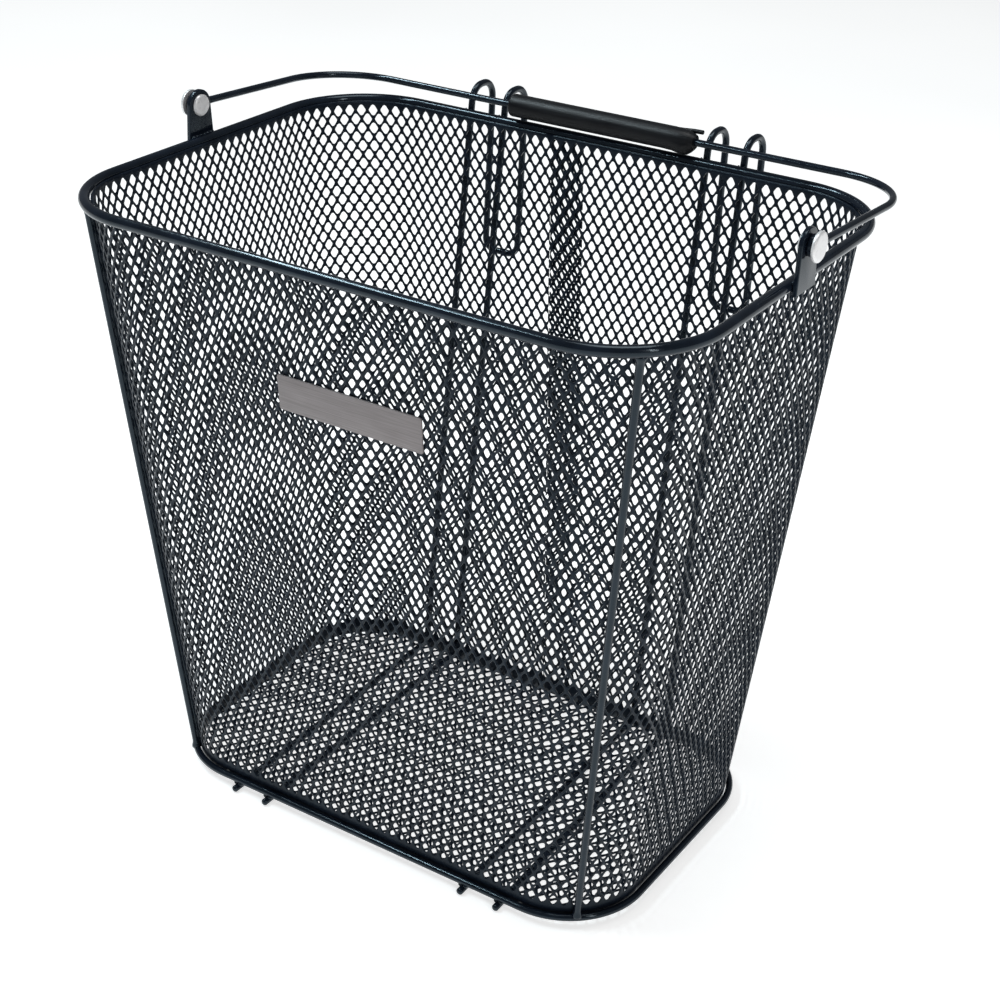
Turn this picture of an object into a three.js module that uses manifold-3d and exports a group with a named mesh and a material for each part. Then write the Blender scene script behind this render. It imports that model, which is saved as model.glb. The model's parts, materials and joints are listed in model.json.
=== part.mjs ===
// A wire-mesh bicycle basket that hangs on a bar by two pairs of wire hooks, with a swinging bail handle.
// Millimetres, +Z up. X runs along the long walls, -Y is the front and +Y the hook side.
// The origin is the centre of the bounding box's underside, so the basket stands on z = 0.
import * as THREE from "three";
import { mergeVertices } from "three/addons/utils/BufferGeometryUtils.js";
import Module from "manifold-3d";

const wasm = await Module();
wasm.setup();

// Driving dimensions. Rings are measured on the centre line of their rod.
const GAP = 0.3; // what touching pieces keep between them
const WIRE = 2; // radius of the hook wires, bottom ring, corner rods and bail
const RIM = 3; // radius of the top rim's rod
const TOP = { width: 360, depth: 254, corner: 54, y: 0 };
const BOTTOM = { width: 298.5, depth: 185, corner: 46, y: -9 };
const RING_RISE = 339.2; // from the bottom ring up to the top rim
const SHEET = 1.2; // thickness of the expanded-metal sheet, which lines the wires from inside
const LAP = { width: 21, topX: -21.2, bottomX: 12.5 }; // the sheet's overlapped ends, on the back wall
const LUG = { thick: 2.5, topRadius: 8.5, baseHalf: 10, drop: 3.7, hole: 2.3 };
const PIVOT_RISE = 18.8; // from the top rim up to the bail's pivot
const RIVET = { innerHead: 6, outerHead: 7.5, headThick: 2, shank: 2, edge: 0.7 };
const EYE = { radius: 5.5, thick: 3, neck: 12, neckWidth: 5 };
const BAIL = { reach: 125.7, corner: 42, restDegrees: -3.3 };
const GRIP = { left: -59, right: 59, radius: 6.5, bore: 2.3, slit: 1.2, edge: 0.8 };
const MOUTH = { radius: 7.8, from: 47, full: 52, to: 54, inset: 2 }; // the grip's flared right end
const TONGUE = { from: 48, to: 62.5, width: 3.4, thick: 2.2 };
const HOOK = { reach: 20.8, bend: 9.5, rise: 14.3, lean: 5.5, length: 103.8, turn: 7, toe: 3 };
const HOOK_WIRES = {
  left: { legs: [-92.5, -69.5], toes: [-91, -69] },
  right: { legs: [63, 85.5], toes: [67, 90] },
};
const ROD_ANGLE = { top: 47, bottom: 51 }; // round the front corners, from the side wall
const PLATE = { width: 86.5, height: 19.5, thick: 1, x: 10.3, z: 276.6, corner: 1.5 };

// Heights that follow from them.
const BOTTOM_Z = 2 * WIRE + GAP + WIRE;
const TOP_Z = BOTTOM_Z + RING_RISE;
const PIVOT_Z = TOP_Z + PIVOT_RISE;
const FLOOR_LOW = 2 * WIRE + GAP;
const BETWEEN_LOW = BOTTOM_Z + WIRE + GAP; // what stands between the ring and the rim
const BETWEEN_HIGH = TOP_Z - RIM - GAP;
const LUG_X = TOP.width / 2 + RIM + GAP; // the lug's inner face
const EYE_X = LUG_X + LUG.thick + GAP; // the eye's inner face
const BAIL_X = EYE_X + EYE.thick / 2;
const HEAD_X = EYE_X + EYE.thick + GAP; // the outer rivet head's inner face

// The wall sheet's own plans, at the heights of the rim and the ring.
const SHEET_TOP = insetPlan(TOP, RIM + GAP + SHEET / 2);
const SHEET_BOTTOM = insetPlan(BOTTOM, WIRE + GAP + SHEET / 2);

const TUBE_SIDES = 10;
const CORNER_STEPS = 10;
const coat = { color: 0x10151f, roughness: 0.35, metalness: 0.4 };
const zinc = { color: 0xe8e8ea, roughness: 0.3, metalness: 0.9 };
const plastic = { color: 0x14161b, roughness: 0.45, metalness: 0 };
const plateMetal = { color: 0x827a7a, roughness: 0.4, metalness: 0.8 };

const radians = THREE.MathUtils.degToRad;
const lerp = THREE.MathUtils.lerp;
const vec = (x, y, z) => new THREE.Vector3(x, y, z);

function insetPlan({ width, depth, corner, y }, inset) {
  return { width: width - 2 * inset, depth: depth - 2 * inset, corner: corner - inset, y };
}

function piece(name, geometry, look) {
  const mesh = new THREE.Mesh(geometry, new THREE.MeshStandardMaterial(look));
  mesh.name = name;
  return mesh;
}

// Booleans.
function solid(geometry) {
  const bare = geometry.clone();
  bare.deleteAttribute("normal");
  bare.deleteAttribute("uv");
  const merged = mergeVertices(bare, 1e-3);
  return new wasm.Manifold(
    new wasm.Mesh({
      numProp: 3,
      vertProperties: merged.attributes.position.array,
      triVerts: new Uint32Array(merged.index.array),
    }),
  );
}

function fromSolid(manifold) {
  const mesh = manifold.getMesh();
  const geometry = new THREE.BufferGeometry();
  geometry.setAttribute("position", new THREE.BufferAttribute(mesh.vertProperties, 3));
  geometry.setIndex(new THREE.BufferAttribute(mesh.triVerts, 1));
  return geometry;
}

// A wire's centre line: straight runs joined by round bends. It is sampled only where it bends.
class WirePath extends THREE.Curve {
  constructor(corners, radii) {
    super();
    this.points = [corners[0]];
    for (let i = 1; i < corners.length - 1; i++) {
      this.addBend(corners[i - 1], corners[i], corners[i + 1], radii[i - 1]);
    }
    this.points.push(corners[corners.length - 1]);
  }

  addBend(before, corner, after, radius) {
    const inward = before.clone().sub(corner).normalize();
    const outward = after.clone().sub(corner).normalize();
    const turn = Math.PI - inward.angleTo(outward);
    const run = radius * Math.tan(turn / 2);
    const middle = inward.clone().add(outward).normalize();
    const centre = corner.clone().addScaledVector(middle, radius / Math.cos(turn / 2));
    const start = corner.clone().addScaledVector(inward, run).sub(centre);
    const axis = outward.clone().cross(inward).normalize();
    const steps = Math.max(2, Math.ceil(turn / radians(22.5)));
    for (let i = 0; i <= steps; i++) {
      const spoke = start.clone().applyAxisAngle(axis, (turn * i) / steps);
      this.points.push(centre.clone().add(spoke));
    }
  }

  get steps() {
    return this.points.length - 1;
  }

  getPointAt(u) {
    return this.points[Math.round(u * this.steps)].clone();
  }

  getTangentAt(u) {
    const i = Math.round(u * this.steps);
    const before = this.points[Math.max(0, i - 1)];
    const here = this.points[i];
    const after = this.points[Math.min(this.steps, i + 1)];
    const arriving = here.clone().sub(before).normalize();
    const leaving = after.clone().sub(here).normalize();
    return arriving.add(leaving).normalize();
  }
}

function wire(corners, radii = [], radius = WIRE) {
  const path = new WirePath(corners, radii);
  const section = new THREE.Shape().absarc(0, 0, radius, 0, 2 * Math.PI);
  return new THREE.ExtrudeGeometry(section, {
    steps: path.steps,
    curveSegments: TUBE_SIDES,
    bevelEnabled: false,
    extrudePath: path,
  });
}

// A rounded-rectangle ring: a torus whose four quarters stand apart, joined by straight runs.
// The torus is turned by half a step, and grown so that the straight runs keep their distance.
function ring(plan, radius, z) {
  const around = 4 * CORNER_STEPS;
  const halfStep = Math.PI / around;
  const corner = plan.corner / Math.cos(halfStep);
  const geometry = new THREE.TorusGeometry(corner, radius, TUBE_SIDES, around);
  geometry.rotateZ(halfStep);
  const at = geometry.attributes.position;
  for (let i = 0; i < at.count; i++) {
    const x = at.getX(i);
    const y = at.getY(i);
    at.setX(i, x + Math.sign(x) * (plan.width / 2 - plan.corner));
    at.setY(i, y + Math.sign(y) * (plan.depth / 2 - plan.corner) + plan.y);
  }
  geometry.translate(0, 0, z);
  return geometry;
}

// One plan coordinate of the sheet's top, carried down the tapering wall to the plan at height share t.
function taperAxis(value, topSize, bottomSize, t) {
  const flatTop = topSize / 2 - SHEET_TOP.corner;
  const flat = lerp(bottomSize / 2 - SHEET_BOTTOM.corner, flatTop, t);
  const corner = lerp(SHEET_BOTTOM.corner, SHEET_TOP.corner, t);
  const size = Math.abs(value);
  if (size <= flatTop) return (value * flat) / flatTop;
  return Math.sign(value) * (flat + ((size - flatTop) * corner) / SHEET_TOP.corner);
}

function onWall(x, y, z) {
  const t = (z - BOTTOM_Z) / RING_RISE;
  return vec(
    taperAxis(x, SHEET_TOP.width, SHEET_BOTTOM.width, t),
    taperAxis(y, SHEET_TOP.depth, SHEET_BOTTOM.depth, t) + lerp(BOTTOM.y, TOP.y, t),
    z,
  );
}

// A plan outline drawn at the sheet's top becomes a piece of the tapering wall.
function wallPanel(outline) {
  const depth = TOP_Z - FLOOR_LOW;
  const options = { depth, bevelEnabled: false, curveSegments: CORNER_STEPS };
  const geometry = new THREE.ExtrudeGeometry(outline, options);
  geometry.translate(0, 0, FLOOR_LOW);
  const at = geometry.attributes.position;
  for (let i = 0; i < at.count; i++) {
    const p = onWall(at.getX(i), at.getY(i), at.getZ(i));
    at.setXYZ(i, p.x, p.y, p.z);
  }
  return geometry;
}

function box2(x0, y0, x1, y1) {
  const shape = new THREE.Shape();
  return shape.moveTo(x0, y0).lineTo(x1, y0).lineTo(x1, y1).lineTo(x0, y1);
}

function flatPanels() {
  const half = SHEET / 2;
  const x = SHEET_TOP.width / 2;
  const y = SHEET_TOP.depth / 2;
  const flatX = x - SHEET_TOP.corner - GAP / 2;
  const flatY = y - SHEET_TOP.corner - GAP / 2;
  return {
    wall_front: wallPanel(box2(-flatX, -y - half, flatX, -y + half)),
    wall_back: wallPanel(box2(-flatX, y - half, flatX, y + half)),
    wall_left: wallPanel(box2(-x - half, -flatY, -x + half, flatY)),
    wall_right: wallPanel(box2(x - half, -flatY, x + half, flatY)),
  };
}

function cornerPanel(sideX, sideY) {
  const { width, depth, corner } = SHEET_TOP;
  const cx = sideX * (width / 2 - corner);
  const cy = sideY * (depth / 2 - corner);
  const trim = GAP / 2 / corner;
  const quarter = Math.atan2(sideY, sideX) - Math.PI / 4;
  const from = quarter + trim;
  const to = quarter + Math.PI / 2 - trim;
  const outline = new THREE.Shape();
  outline.absarc(cx, cy, corner + SHEET / 2, from, to, false);
  outline.absarc(cx, cy, corner - SHEET / 2, to, from, true);
  return wallPanel(outline);
}

// The outer layer where the wrapped sheet's two ends overlap: a leaning strip outside the back wall.
function lapStrip() {
  const strip = new THREE.BoxGeometry(LAP.width, SHEET, BETWEEN_HIGH - BETWEEN_LOW);
  strip.translate(0, 0, (BETWEEN_HIGH + BETWEEN_LOW) / 2);
  const at = strip.attributes.position;
  const out = SHEET_TOP.depth / 2 + SHEET + GAP;
  for (let i = 0; i < at.count; i++) {
    const t = (at.getZ(i) - BOTTOM_Z) / RING_RISE;
    const wall = onWall(0, out + at.getY(i), at.getZ(i));
    at.setXYZ(i, at.getX(i) + lerp(LAP.bottomX, LAP.topX, t), wall.y, wall.z);
  }
  return strip;
}

function roundedPlan({ width, depth, corner: r }) {
  const x = width / 2;
  const y = depth / 2;
  const shape = new THREE.Shape();
  shape.absarc(x - r, y - r, r, 0, Math.PI / 2);
  shape.absarc(r - x, y - r, r, Math.PI / 2, Math.PI);
  shape.absarc(r - x, r - y, r, Math.PI, 1.5 * Math.PI);
  shape.absarc(x - r, r - y, r, 1.5 * Math.PI, 2 * Math.PI);
  return shape;
}

function floorSheet() {
  const outline = roundedPlan(insetPlan(SHEET_BOTTOM, SHEET / 2 + GAP));
  const geometry = new THREE.ExtrudeGeometry(outline, {
    depth: SHEET,
    bevelEnabled: false,
    curveSegments: CORNER_STEPS,
  });
  return geometry.translate(0, BOTTOM.y, FLOOR_LOW);
}

// A point at a front corner: side is -1 or 1, degrees run from the side wall to the front.
function cornerPoint(plan, side, degrees, out, z) {
  const reach = plan.corner + out;
  const x = plan.width / 2 - plan.corner + reach * Math.cos(radians(degrees));
  const y = plan.depth / 2 - plan.corner + reach * Math.sin(radians(degrees));
  return vec(side * x, plan.y - y, z);
}

// A rod stands on the ring, just outside the sheet, and ends under the rim.
function cornerRod(side) {
  const beside = SHEET / 2 + GAP + WIRE;
  const low = cornerPoint(SHEET_BOTTOM, side, ROD_ANGLE.bottom, beside, BETWEEN_LOW);
  const high = cornerPoint(SHEET_TOP, side, ROD_ANGLE.top, beside, BETWEEN_HIGH);
  return wire([low, high]);
}

// One wire makes a pair of hooks: toe, runner, back leg, hook, U-turn, and the same way back.
function hookWire({ legs, toes }) {
  const frontY = BOTTOM.y - BOTTOM.depth / 2 - WIRE - HOOK.toe;
  const rimY = TOP.depth / 2 + RIM + GAP + WIRE;
  const ringY = BOTTOM.y + BOTTOM.depth / 2 + 2 * WIRE + GAP;
  const slope = (rimY - ringY) / RING_RISE;
  const topZ = TOP_Z + HOOK.rise;
  const heelY = ringY - slope * (BOTTOM_Z - WIRE);
  const topY = rimY + slope * HOOK.rise;
  const outerY = topY + HOOK.reach;
  const turnZ = topZ - HOOK.length;
  const turnY = outerY - HOOK.lean;
  const oneWay = (leg, toe) => [
    vec(toe, frontY, WIRE),
    vec(leg, heelY, WIRE),
    vec(leg, topY, topZ),
    vec(leg, outerY, topZ),
    vec(leg, turnY, turnZ),
  ];
  const radii = [2 * WIRE + GAP, HOOK.bend, HOOK.bend, HOOK.turn];
  const out = oneWay(legs[0], toes[0]);
  const back = oneWay(legs[1], toes[1]).reverse();
  return wire([...out, ...back], [...radii, ...radii.slice().reverse()]);
}

// Shapes drawn across Y and Z, extruded along X.
function alongX(shape, x, thick, curveSegments = 12) {
  const options = { depth: thick, bevelEnabled: false, curveSegments };
  const geometry = new THREE.ExtrudeGeometry(shape, options);
  return geometry.rotateX(Math.PI / 2).rotateZ(Math.PI / 2).translate(x, 0, 0);
}

function lug(side) {
  const shape = new THREE.Shape();
  shape.moveTo(-LUG.baseHalf, TOP_Z - LUG.drop);
  shape.lineTo(LUG.baseHalf, TOP_Z - LUG.drop);
  shape.absarc(0, PIVOT_Z, LUG.topRadius, 0, Math.PI, false);
  shape.holes.push(new THREE.Path().absarc(0, PIVOT_Z, LUG.hole, 0, 2 * Math.PI, true));
  return alongX(shape, side > 0 ? LUG_X : -LUG_X - LUG.thick, LUG.thick);
}

function rivet(side) {
  const { innerHead, outerHead, headThick, shank, edge } = RIVET;
  const inner = LUG_X - GAP;
  const profile = [
    [0, inner - headThick],
    [innerHead - edge, inner - headThick],
    [innerHead, inner - headThick + edge],
    [innerHead, inner],
    [shank, inner],
    [shank, HEAD_X],
    [outerHead, HEAD_X],
    [outerHead, HEAD_X + headThick - edge],
    [outerHead - edge, HEAD_X + headThick],
    [0, HEAD_X + headThick],
  ];
  const points = profile.map(([r, along]) => new THREE.Vector2(r, along));
  const geometry = new THREE.LatheGeometry(points, 20);
  return geometry.rotateZ((-side * Math.PI) / 2).translate(0, 0, PIVOT_Z);
}

// The bail lies in its own XY plane, with the pivot axis along X through the origin.
function bailWire() {
  const { reach, corner } = BAIL;
  const start = EYE.neck - 1;
  const left = [vec(-BAIL_X, start, 0), vec(-BAIL_X, reach, 0)];
  const right = [vec(BAIL_X, reach, 0), vec(BAIL_X, start, 0)];
  let bail = solid(wire([...left, ...right], [corner, corner]));
  for (const side of [-1, 1]) {
    const face = side > 0 ? EYE_X : -EYE_X - EYE.thick;
    const half = EYE.neckWidth / 2;
    const disc = new THREE.Shape().absarc(0, 0, EYE.radius, 0, 2 * Math.PI);
    const neck = box2(EYE.radius - 2, -half, EYE.neck, half);
    const hole = new THREE.Shape().absarc(0, 0, LUG.hole, 0, 2 * Math.PI);
    bail = bail.add(solid(alongX(disc, face, EYE.thick)));
    bail = bail.add(solid(alongX(neck, face, EYE.thick)));
    bail = bail.subtract(solid(alongX(hole, face - 1, EYE.thick + 2)));
  }
  return fromSolid(bail);
}

// A split tube snapped over the wire: it flares into a mouth at its right end, where a tongue sticks out.
function grip() {
  const { left, right, radius, bore, slit, edge } = GRIP;
  const profile = [
    [bore, left],
    [radius - edge, left],
    [radius, left + edge],
    [radius, MOUTH.from],
    [MOUTH.radius, MOUTH.full],
    [MOUTH.radius, MOUTH.to],
    [radius - MOUTH.inset, right],
    [bore, right],
    [bore, left],
  ];
  const points = profile.map(([r, along]) => new THREE.Vector2(r, along));
  const tube = new THREE.LatheGeometry(points, 20).rotateZ(-Math.PI / 2);
  const length = right - left + 2;
  const cut = new THREE.BoxGeometry(length, slit, 2 * MOUTH.radius);
  cut.translate((left + right) / 2, 0, MOUTH.radius);
  const tongueLength = TONGUE.to - TONGUE.from;
  const tongue = new THREE.BoxGeometry(tongueLength, TONGUE.width, TONGUE.thick);
  const tongueY = slit / 2 + TONGUE.width / 2;
  tongue.translate(TONGUE.from + tongueLength / 2, tongueY, radius - TONGUE.thick);
  return fromSolid(solid(tube).subtract(solid(cut)).add(solid(tongue)));
}

function namePlate() {
  const plan = { width: PLATE.width, depth: PLATE.height, corner: PLATE.corner };
  const options = { depth: PLATE.thick, bevelEnabled: false, curveSegments: 4 };
  return new THREE.ExtrudeGeometry(roundedPlan(plan), options);
}

function placedPlate() {
  const plate = piece("name_plate", namePlate(), plateMetal);
  const lean = Math.atan2((SHEET_TOP.depth - SHEET_BOTTOM.depth) / 2 + BOTTOM.y, RING_RISE);
  const wall = onWall(0, -SHEET_TOP.depth / 2, PLATE.z);
  const out = SHEET / 2 + GAP;
  plate.rotation.x = Math.PI / 2 + lean;
  plate.position.set(PLATE.x, wall.y - out * Math.cos(lean), PLATE.z - out * Math.sin(lean));
  return plate;
}

function bailGroup() {
  const group = new THREE.Group();
  group.add(piece("bail_wire", bailWire(), coat));
  const handle = piece("grip", grip(), plastic);
  handle.position.y = BAIL.reach;
  group.add(handle);
  group.position.z = PIVOT_Z;
  group.rotation.x = radians(BAIL.restDegrees);
  return group;
}

function basket() {
  const group = new THREE.Group();
  group.add(piece("top_rim", ring(TOP, RIM, TOP_Z), coat));
  group.add(piece("bottom_rim", ring(BOTTOM, WIRE, BOTTOM_Z), coat));
  for (const [name, geometry] of Object.entries(flatPanels())) {
    group.add(piece(name, geometry, coat));
  }
  for (const [nameY, sideY] of [["front", -1], ["back", 1]]) {
    for (const [nameX, sideX] of [["left", -1], ["right", 1]]) {
      group.add(piece(`wall_corner_${nameY}_${nameX}`, cornerPanel(sideX, sideY), coat));
    }
  }
  group.add(piece("wall_lap", lapStrip(), coat));
  group.add(piece("floor_mesh", floorSheet(), coat));
  for (const [name, side] of [["left", -1], ["right", 1]]) {
    group.add(piece(`corner_rod_${name}`, cornerRod(side), coat));
    group.add(piece(`hook_wire_${name}`, hookWire(HOOK_WIRES[name]), coat));
    group.add(piece(`lug_${name}`, lug(side), coat));
    group.add(piece(`rivet_${name}`, rivet(side), zinc));
  }
  group.add(placedPlate());
  group.add(bailGroup());
  return group;
}

// The rings are centred on X; along Y the basket moves so that its bounding box is centred.
function centred(group) {
  const root = new THREE.Group();
  root.add(group);
  root.updateMatrixWorld(true);
  const bounds = new THREE.Box3().setFromObject(root, true);
  group.position.y = -(bounds.min.y + bounds.max.y) / 2;
  return root;
}

export default centred(basket());
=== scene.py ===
import json
from math import atan2, cos, hypot, pi, radians, sin, tan

import bmesh
import bpy
import numpy as np
from mathutils import Matrix, Vector, noise


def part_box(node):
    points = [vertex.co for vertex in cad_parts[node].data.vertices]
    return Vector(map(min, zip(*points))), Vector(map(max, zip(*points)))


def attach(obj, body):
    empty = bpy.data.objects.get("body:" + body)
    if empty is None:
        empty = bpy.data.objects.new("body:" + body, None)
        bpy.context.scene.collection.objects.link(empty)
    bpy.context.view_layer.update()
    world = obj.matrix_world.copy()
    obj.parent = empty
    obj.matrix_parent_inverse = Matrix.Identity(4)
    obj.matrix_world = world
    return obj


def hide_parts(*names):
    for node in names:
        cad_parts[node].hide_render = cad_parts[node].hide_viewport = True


# A wire-mesh bicycle basket: rounded wires, expanded-metal sheets with real strands,
# a bail with a split grip, rivets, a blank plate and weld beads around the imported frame.
# Sizes are millimetres until a mesh is made. The basket's own plan is centred on the top rim.
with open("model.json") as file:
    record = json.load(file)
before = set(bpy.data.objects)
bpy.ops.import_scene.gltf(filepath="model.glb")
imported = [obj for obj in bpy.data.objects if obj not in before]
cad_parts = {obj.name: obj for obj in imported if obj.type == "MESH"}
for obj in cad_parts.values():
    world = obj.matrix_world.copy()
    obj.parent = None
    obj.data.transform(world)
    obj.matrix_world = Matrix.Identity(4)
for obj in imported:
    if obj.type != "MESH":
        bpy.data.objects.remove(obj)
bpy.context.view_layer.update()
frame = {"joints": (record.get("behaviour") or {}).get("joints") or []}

MM = 0.001
RIM_RADIUS = 3.0
WIRE_RADIUS = 2.0
GAP = 0.3
THICK = 1.2  # the expanded-metal sheet, which lines the wires from inside
TOP = {"width": 360.0, "depth": 254.0, "corner": 54.0, "y": 0.0}
BOTTOM = {"width": 298.5, "depth": 185.0, "corner": 46.0, "y": -9.0}


def inset(plan, by):
    smaller = {side: plan[side] - 2 * by for side in ("width", "depth")}
    return {**smaller, "corner": plan["corner"] - by, "y": plan["y"]}


SHEET_TOP = inset(TOP, RIM_RADIUS + GAP + THICK / 2)
SHEET_BOTTOM = inset(BOTTOM, WIRE_RADIUS + GAP + THICK / 2)


def node_centre(name):
    low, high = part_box(name)
    return (low + high) / 2 / MM


PLAN_Y = node_centre("top_rim").y
TOP_Z = node_centre("top_rim").z
BOTTOM_Z = node_centre("bottom_rim").z
RISE = TOP_Z - BOTTOM_Z
PIVOT = Vector(next(j for j in frame["joints"] if j["name"] == "bail_swing")["pos_m"]) / MM


# ---------------------------------------------------------------- camera
LENS = 67.1
SENSOR = 36.0
EYE_POINT = (509.4, -751.6, 655.7)  # from the top rim's centre in plan and the ring's height
AZIMUTH, ELEVATION, ROLL = 33.109, 28.243, 1.142


def camera():
    data = bpy.data.cameras.new("camera")
    data.sensor_width = SENSOR
    data.lens = LENS
    data.clip_start = 0.05
    data.clip_end = 50.0
    cam = bpy.data.objects.new("camera", data)
    bpy.context.scene.collection.objects.link(cam)
    azimuth, elevation, roll = radians(AZIMUTH), radians(ELEVATION), radians(ROLL)
    reach = cos(elevation)
    forward = Vector((-reach * sin(azimuth), reach * cos(azimuth), -sin(elevation)))
    level = Vector((cos(azimuth), sin(azimuth), 0))
    upright = level.cross(forward)
    right = level * cos(roll) + upright * sin(roll)
    up = upright * cos(roll) - level * sin(roll)
    turn = Matrix((right, up, -forward)).transposed().to_4x4()
    eye = (Vector(EYE_POINT) + Vector((0, PLAN_Y, BOTTOM_Z))) * MM
    cam.matrix_world = Matrix.Translation(eye) @ turn
    bpy.context.scene.camera = cam


camera()


# ---------------------------------------------------------------- mesh helpers
def new_object(name, vertices, faces, material, body="basket", nodes=(), sharp=None):
    """Vertices in millimetres in the row frame become one smooth-shaded piece on a body."""
    mesh = bpy.data.meshes.new(name)
    mesh.from_pydata([tuple(v) for v in np.asarray(vertices, float) * MM], [], faces)
    mesh.validate()
    mesh.materials.append(material)
    piece = bpy.data.objects.new(name, mesh)
    bpy.context.scene.collection.objects.link(piece)
    mesh.shade_smooth()
    if sharp is not None:
        mesh.set_sharp_from_angle(angle=radians(sharp))
    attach(piece, body)
    if nodes:
        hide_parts(*nodes)
    return piece


def round_path(corners, radii, step=6.0):
    """Straight runs joined by round bends of the given radii, sampled every few degrees."""
    path = [np.array(corners[0], float)]
    for before, corner, after, radius in zip(corners, corners[1:], corners[2:], radii):
        a, c, b = (Vector(p) for p in (before, corner, after))
        inward, outward = (a - c).normalized(), (b - c).normalized()
        turn = pi - inward.angle(outward)
        run = radius * tan(turn / 2)
        centre = c + (inward + outward).normalized() * radius / cos(turn / 2)
        start = c + inward * run - centre
        axis = outward.cross(inward).normalized()
        count = max(3, round(turn / radians(step)))
        for i in range(count + 1):
            spoke = Matrix.Rotation(turn * i / count, 3, axis) @ start
            path.append(np.array(centre + spoke))
    path.append(np.array(corners[-1], float))
    return np.array(path)


def ring_path(plan, z, count=24):
    """The centre line of a rounded-rectangle ring, closed, in the row frame."""
    points = []
    x = plan["width"] / 2 - plan["corner"]
    y = plan["depth"] / 2 - plan["corner"]
    for quarter, (sx, sy) in enumerate(((1, 1), (-1, 1), (-1, -1), (1, -1))):
        for i in range(count + 1):
            angle = (quarter + i / count) * pi / 2
            px = sx * x + plan["corner"] * cos(angle)
            py = sy * y + plan["corner"] * sin(angle) + plan["y"] + PLAN_Y
            points.append((px, py, z))
    return np.array(points)


def frames_along(path, closed):
    """Tangents and twist-free side vectors at each point of a path."""
    ahead = np.roll(path, -1, 0) - path
    behind = path - np.roll(path, 1, 0)
    if not closed:
        ahead[-1] = behind[-1]
        behind[0] = ahead[0]
    ahead /= np.linalg.norm(ahead, axis=1)[:, None]
    behind /= np.linalg.norm(behind, axis=1)[:, None]
    tangents = ahead + behind
    tangents /= np.linalg.norm(tangents, axis=1)[:, None]
    side = np.cross(tangents[0], (0.31, 0.17, 0.93))
    sides = []
    for t in tangents:
        side = side - t * (side @ t)
        side = side / np.linalg.norm(side)
        sides.append(side)
    return tangents, np.array(sides)


def skin(rings, sides, flip=False):
    """Faces of a solid whose closed sections follow one another, with flat ends."""
    faces = []
    for i in range(rings - 1):
        for k in range(sides):
            a, b = i * sides + k, i * sides + (k + 1) % sides
            quad = (a, b, b + sides, a + sides)
            faces.append((quad[0], *reversed(quad[1:])) if flip else quad)
    first, last = range(sides), range((rings - 1) * sides, rings * sides)
    faces.append(tuple(first) if flip else tuple(reversed(first)))
    faces.append(tuple(reversed(last)) if flip else tuple(last))
    return faces


def tube(path, radius, sides=20, closed=False, cap=0.6, radii=None):
    """Vertices and faces of a round wire; open ends are domed by cap times the radius.
    With radii, one for each point, the ends stay flat and the wire swells and thins."""
    path = np.asarray(path, float)
    tangents, across = frames_along(path, closed)
    domed = radii is None and not closed
    radii = np.full(len(path), radius) if radii is None else np.asarray(radii, float)
    if domed:
        dome = [(0.0, 0.35), (0.45, 0.8), (0.8, 0.97), (1.0, 1.0)]
        first = [(path[0] + tangents[0] * radius * cap * d, r) for d, r in dome]
        last = [(path[-1] - tangents[-1] * radius * cap * d, r) for d, r in reversed(dome)]
        inner = path[1:-1]
        path = np.array([p for p, _ in first] + list(inner) + [p for p, _ in last])
        ends = len(dome)
        narrowing = [radius * r for _, r in first]
        widening = [radius * r for _, r in last]
        radii = np.array(narrowing + [radius] * len(inner) + widening)
        tangents = np.concatenate(([tangents[0]] * ends, tangents[1:-1], [tangents[-1]] * ends))
        across = np.concatenate(([across[0]] * ends, across[1:-1], [across[-1]] * ends))
    up = np.cross(tangents, across)
    angles = np.arange(sides) * 2 * pi / sides
    cosines, sines = np.cos(angles)[None, :, None], np.sin(angles)[None, :, None]
    spokes = cosines * across[:, None] + sines * up[:, None]
    vertices = (path[:, None] + spokes * radii[:, None, None]).reshape(-1, 3)
    rings = len(path)
    faces = []
    if not closed:
        return vertices, skin(rings, sides)
    shift = closing_shift(across, up, sides)
    for i in range(rings):
        j = (i + 1) % rings
        turn = shift if j < i else 0
        for k in range(sides):
            a, b = i * sides + k, i * sides + (k + 1) % sides
            c, d = j * sides + (k + 1 + turn) % sides, j * sides + (k + turn) % sides
            faces.append((a, b, c, d))
    return vertices, faces


def closing_shift(across, up, sides):
    """How many sides the last ring of a closed wire is turned against the first."""
    angle = atan2(across[-1] @ up[0], across[-1] @ across[0])
    return round(angle / (2 * pi / sides))


def lathe(profile, axis_point, axis, sides=48):
    """A closed profile of (radius, distance along axis) spun about an axis."""
    axis = Vector(axis).normalized()
    side = axis.orthogonal().normalized()
    other = axis.cross(side)
    vertices = []
    for radius, along in profile:
        for k in range(sides):
            angle = 2 * pi * k / sides
            offset = side * cos(angle) + other * sin(angle)
            vertices.append(Vector(axis_point) + axis * along + offset * radius)
    return [tuple(v) for v in vertices], skin(len(profile), sides)


def joined(*parts):
    """Several (vertices, faces) sets as one."""
    vertices, faces = [], []
    for part_vertices, part_faces in parts:
        start = len(vertices)
        vertices.extend(tuple(v) for v in part_vertices)
        faces.extend(tuple(i + start for i in f) for f in part_faces)
    return vertices, faces


# ---------------------------------------------------------------- materials
def material(name):
    made = bpy.data.materials.new(name)
    made.use_nodes = True
    nodes = made.node_tree.nodes
    return made, nodes, made.node_tree.links, nodes["Principled BSDF"]


def noise_node(nodes, links, scale, detail=3.0, roughness=0.5):
    where = nodes.new("ShaderNodeTexCoord")
    texture = nodes.new("ShaderNodeTexNoise")
    texture.inputs["Scale"].default_value = scale
    texture.inputs["Detail"].default_value = detail
    texture.inputs["Roughness"].default_value = roughness
    links.new(where.outputs["Object"], texture.inputs["Vector"])
    return texture


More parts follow.
